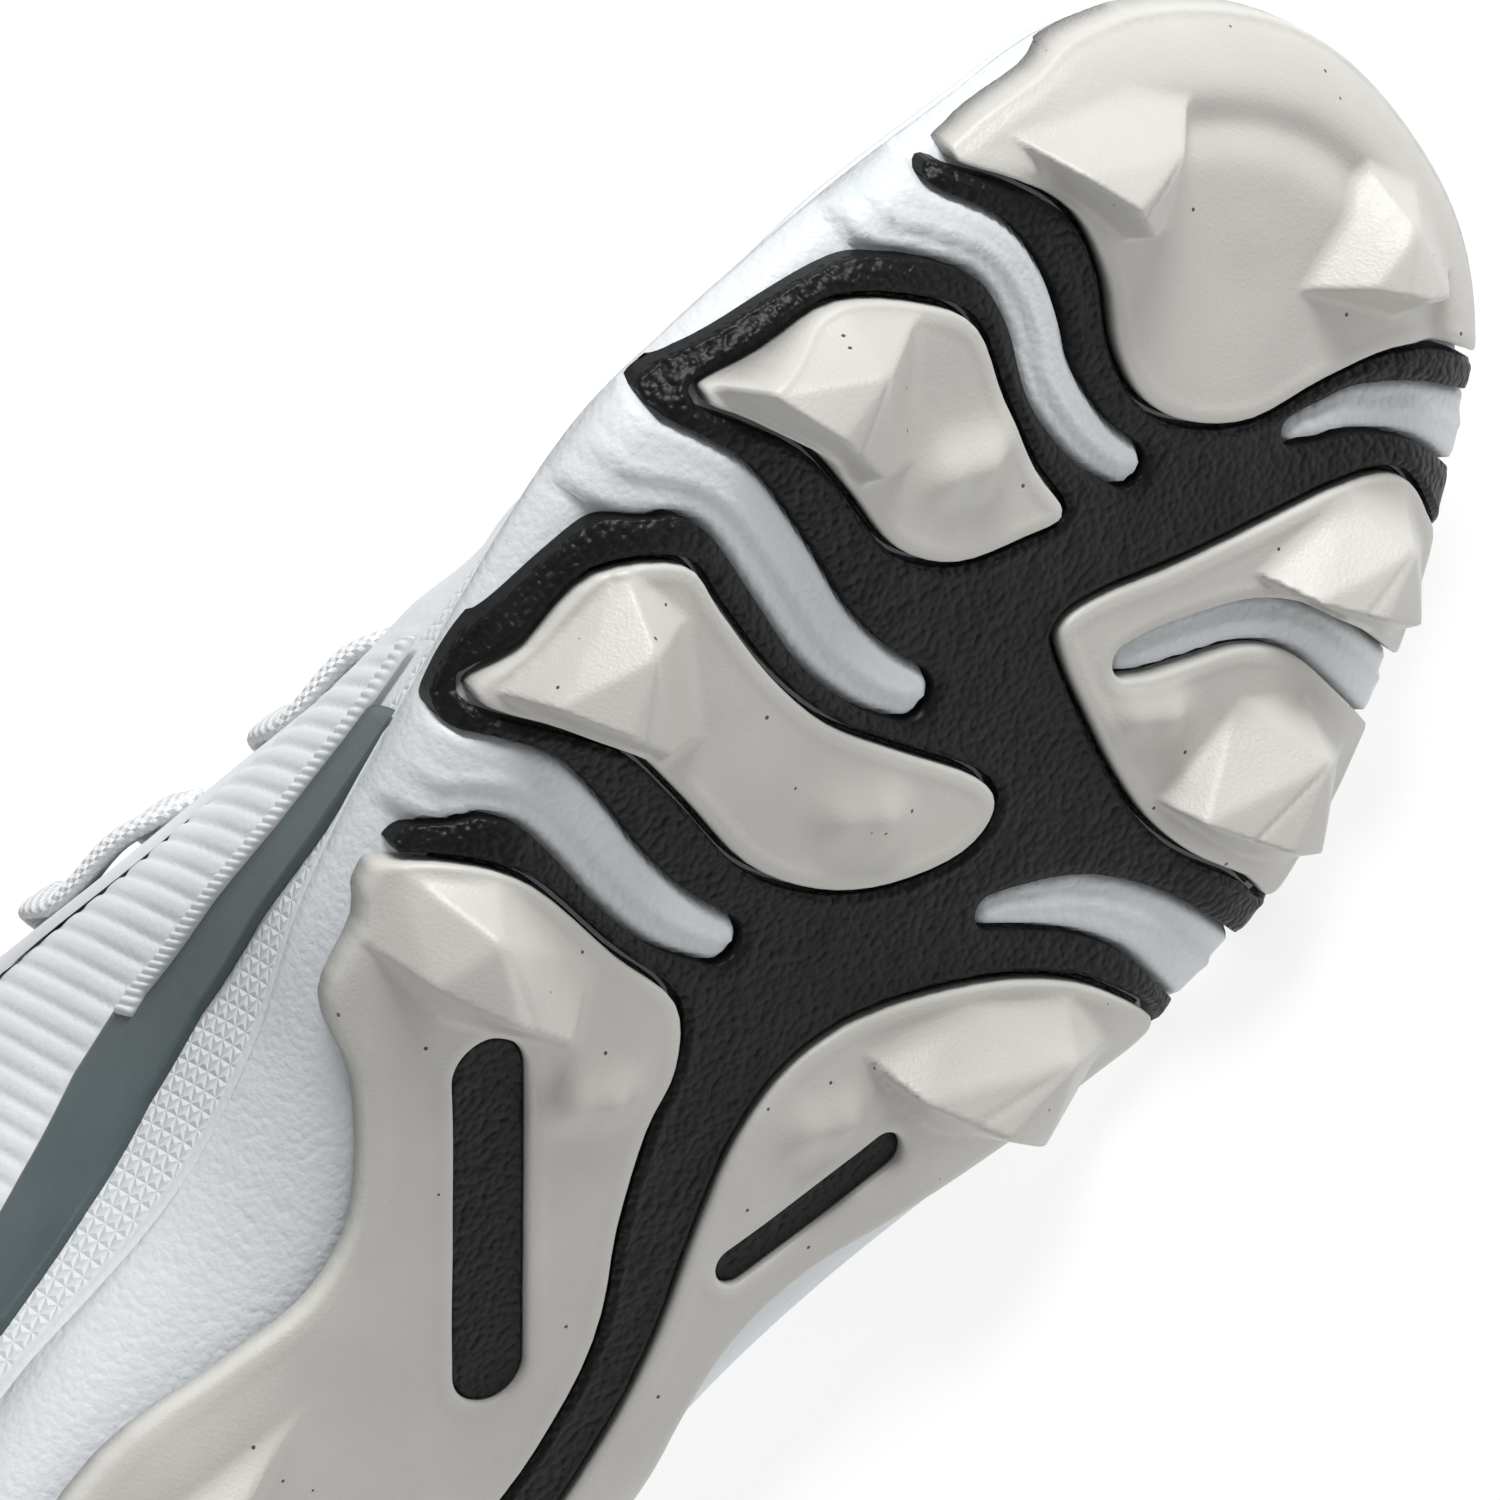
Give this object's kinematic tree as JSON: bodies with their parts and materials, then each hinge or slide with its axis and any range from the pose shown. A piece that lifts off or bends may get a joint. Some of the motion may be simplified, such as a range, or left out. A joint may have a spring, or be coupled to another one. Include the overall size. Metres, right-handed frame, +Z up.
{
  "type": "football cleat",
  "caption": "Low football cleat with a hollow laced upper, a white foam midsole and black and grey moulded studded outsole, lying on its medial side.",
  "frame": {"origin": "middle of the bottom of the bounding box, on the floor that the shoe lies on", "axes": "+X towards the toe, +Y from the sole towards the collar, +Z up from the floor on the medial side"},
  "size_m": [0.3066, 0.1148, 0.1077],
  "materials": {
    "midsole": "moulded foam with a fine skin",
    "chassis": "moulded, fine pebble grain, semi-gloss",
    "toe_pod": "moulded rubber, satin",
    "lateral_pod_front": "moulded rubber, satin",
    "lateral_pod_rear": "moulded rubber, satin",
    "medial_pod": "moulded rubber, satin",
    "rear_plate": "moulded rubber, satin",
    "upper": "coated synthetic leather, fine grain",
    "eyestay": "synthetic leather, ribbed",
    "side_band_lateral": "thin welded film, semi-gloss",
    "side_band_medial": "thin welded film, semi-gloss",
    "tongue": "padded textile",
    "lace": "flat woven cord",
    "insole": "textile cover on foam"
  },
  "bodies": {
    "root": {"midsole": "midsole", "chassis": "chassis", "toe_pod": "toe_pod", "lateral_pod_front": "lateral_pod_front", "lateral_pod_rear": "lateral_pod_rear", "medial_pod": "medial_pod", "rear_plate": "rear_plate", "upper": "upper", "eyestay": "eyestay", "side_band_lateral": "side_band_lateral", "side_band_medial": "side_band_medial", "tongue": "tongue", "lace": "lace", "insole": "insole"}
  },
  "joints": []
}
